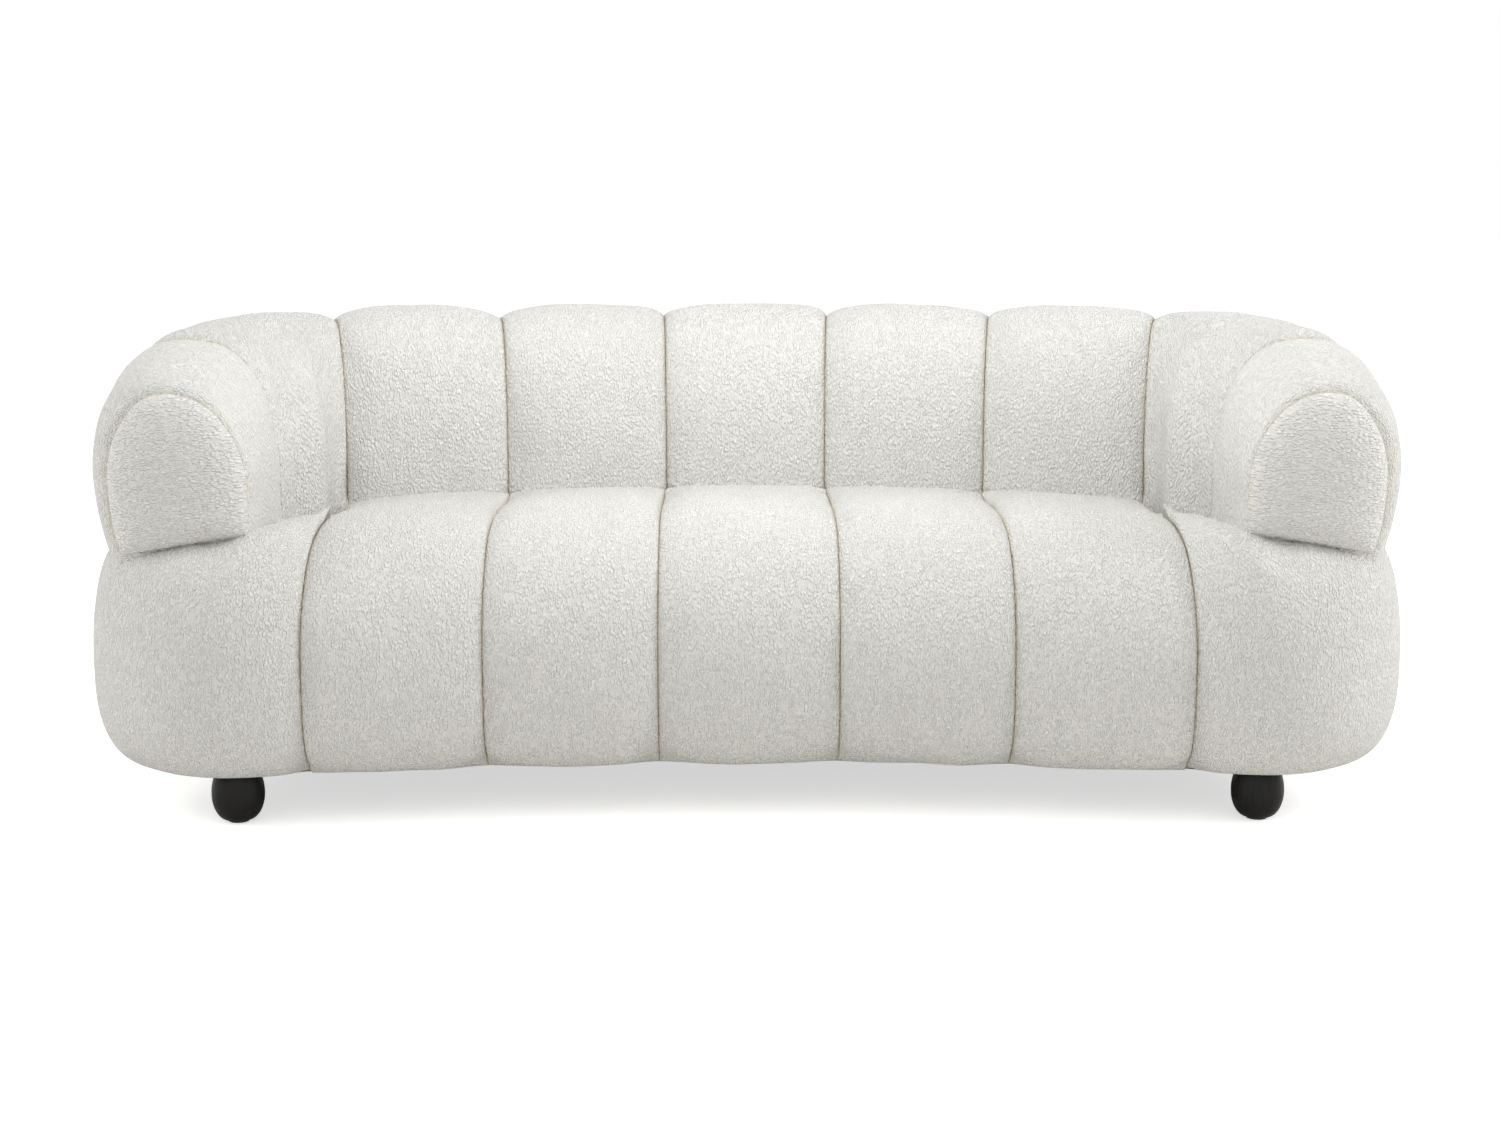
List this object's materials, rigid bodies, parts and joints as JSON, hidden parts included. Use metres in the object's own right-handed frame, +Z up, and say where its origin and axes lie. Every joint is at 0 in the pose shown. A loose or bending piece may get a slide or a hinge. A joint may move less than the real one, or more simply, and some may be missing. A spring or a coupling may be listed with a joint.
{
  "type": "curved sofa",
  "caption": "Low curved sofa with channelled boucle seat, wrap-around channelled back and rounded arms, on black ball feet.",
  "frame": {"origin": "on the floor under the middle of the sofa's box", "axes": "+X to the right as seen from the front, +Y to the rear, +Z up; the sitter faces -Y"},
  "size_m": [2.0726, 0.9407, 0.766],
  "materials": {
    "boucle": "looped boucle cloth, matt",
    "foam": "open-cell upholstery foam",
    "felt": "needled felt pad",
    "dust_cloth": "non-woven cloth",
    "plywood": "sawn plywood and softwood",
    "steel": "drawn wire and zinc plate",
    "black_lacquer": "satin black lacquer",
    "glide_felt": "pressed felt"
  },
  "bodies": {
    "root": {"arm_cap_left": "boucle", "arm_cap_right": "boucle", "arm_cover_left": "boucle", "arm_cover_right": "boucle", "arm_foam_left": "foam", "arm_foam_right": "foam", "arm_posts": "plywood", "arm_top_rails": "plywood", "back_board": "plywood", "back_cover_1": "boucle", "back_cover_2": "boucle", "back_cover_3": "boucle", "back_cover_4": "boucle", "back_cover_5": "boucle", "back_foam": "foam", "back_posts": "plywood", "back_rail": "plywood", "back_top_rail": "plywood", "base_corner_cover_left": "boucle", "base_corner_cover_right": "boucle", "base_corner_foam_left": "foam", "base_corner_foam_right": "foam", "base_rear_cover_1": "boucle", "base_rear_cover_2": "boucle", "base_rear_cover_3": "boucle", "base_rear_cover_4": "boucle", "base_rear_cover_5": "boucle", "base_rear_foam": "foam", "corner_cover_left": "boucle", "corner_cover_right": "boucle", "corner_foam_left": "foam", "corner_foam_right": "foam", "corner_rails": "plywood", "corner_top_rails": "plywood", "cross_rails": "plywood", "dust_cover": "dust_cloth", "end_rails": "plywood", "foot_blocks": "plywood", "foot_front_left": "black_lacquer", "foot_front_right": "black_lacquer", "foot_glides": "glide_felt", "foot_inserts": "steel", "foot_rear_left": "black_lacquer", "foot_rear_right": "black_lacquer", "foot_studs": "steel", "front_rail": "plywood", "seat_cover_1": "boucle", "seat_cover_2": "boucle", "seat_cover_3": "boucle", "seat_cover_4": "boucle", "seat_cover_5": "boucle", "seat_end_cover_left": "boucle", "seat_end_cover_right": "boucle", "seat_end_foam_left": "foam", "seat_end_foam_right": "foam", "seat_foam": "foam", "seat_springs": "steel", "spring_clips": "steel", "spring_insulator": "felt"}
  },
  "joints": []
}
